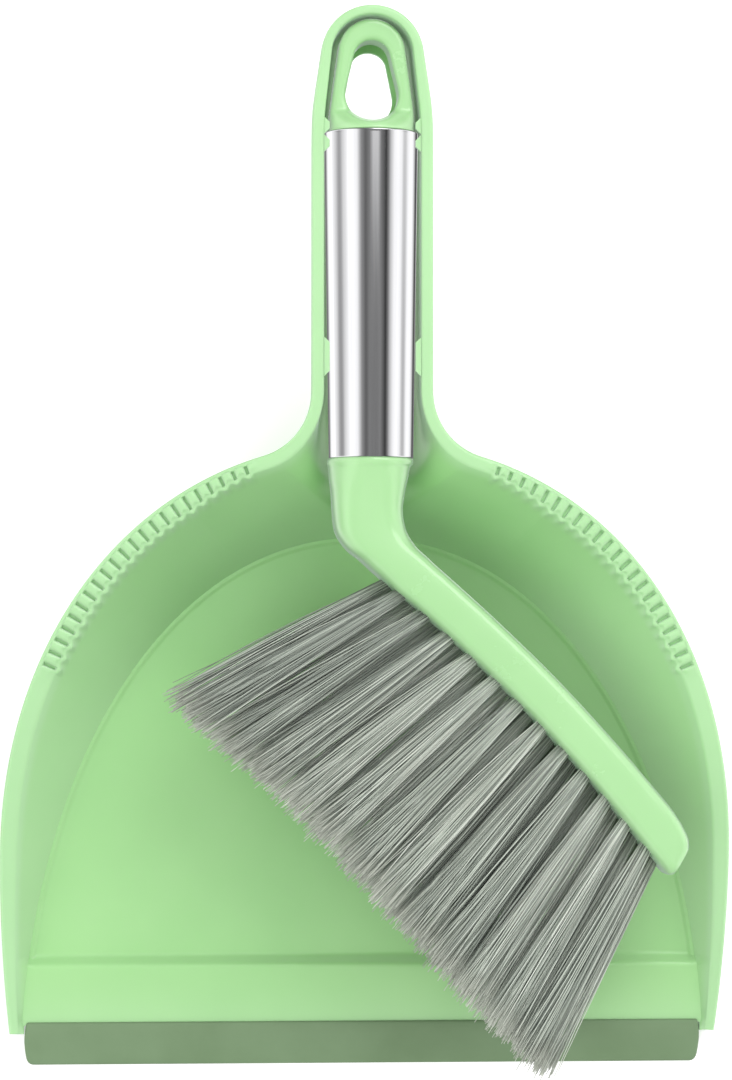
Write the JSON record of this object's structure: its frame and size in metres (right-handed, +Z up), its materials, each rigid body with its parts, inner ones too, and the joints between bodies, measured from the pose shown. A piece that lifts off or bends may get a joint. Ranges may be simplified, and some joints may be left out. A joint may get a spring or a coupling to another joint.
{
  "type": "dustpan and brush",
  "caption": "Handled dustpan with a rubber lip, a combed rim and a channel handle that holds a hand brush with a steel grip, an angled head and fanned bristles.",
  "frame": {"origin": "middle of the underside of the whole set, on the surface that the pan stands on", "axes": "+Z up; +Y from the mouth towards the end of the handle; +X to the right seen from above with the handle away"},
  "size_m": [0.22, 0.3162, 0.0529],
  "materials": {
    "pan_plastic": "satin",
    "brush_plastic": "gloss",
    "lip_rubber": "matte",
    "sleeve_steel": "polished",
    "bristle_fibre": "satin",
    "staple_wire": "satin"
  },
  "bodies": {
    "pan": {"dustpan_shell": "pan_plastic", "rubber_lip": "lip_rubber", "handle_snap_lugs": "pan_plastic"},
    "brush": {"brush_stock": "brush_plastic", "steel_sleeve": "sleeve_steel", "loop_cap": "brush_plastic", "tuft_staples": "staple_wire", "tuft_01": "bristle_fibre", "tuft_02": "bristle_fibre", "tuft_03": "bristle_fibre", "tuft_04": "bristle_fibre", "tuft_05": "bristle_fibre", "tuft_06": "bristle_fibre", "tuft_07": "bristle_fibre", "tuft_08": "bristle_fibre", "tuft_09": "bristle_fibre", "tuft_10": "bristle_fibre", "tuft_11": "bristle_fibre", "tuft_12": "bristle_fibre", "tuft_13": "bristle_fibre", "tuft_14": "bristle_fibre", "tuft_15": "bristle_fibre", "tuft_16": "bristle_fibre", "tuft_17": "bristle_fibre", "tuft_18": "bristle_fibre", "tuft_19": "bristle_fibre", "tuft_20": "bristle_fibre", "tuft_21": "bristle_fibre", "tuft_22": "bristle_fibre", "tuft_23": "bristle_fibre", "tuft_24": "bristle_fibre", "tuft_25": "bristle_fibre", "tuft_26": "bristle_fibre", "tuft_27": "bristle_fibre", "tuft_28": "bristle_fibre", "tuft_29": "bristle_fibre", "tuft_30": "bristle_fibre", "tuft_31": "bristle_fibre", "tuft_32": "bristle_fibre", "tuft_33": "bristle_fibre", "tuft_34": "bristle_fibre", "tuft_35": "bristle_fibre", "tuft_36": "bristle_fibre", "tuft_37": "bristle_fibre"}
  },
  "joints": [
    {"name": "brush_lift", "type": "slide", "parent": "pan", "child": "brush", "axis": [0, 0, 1], "range_m": [0, 0.08], "deforming": ["handle_snap_lugs"]}
  ]
}
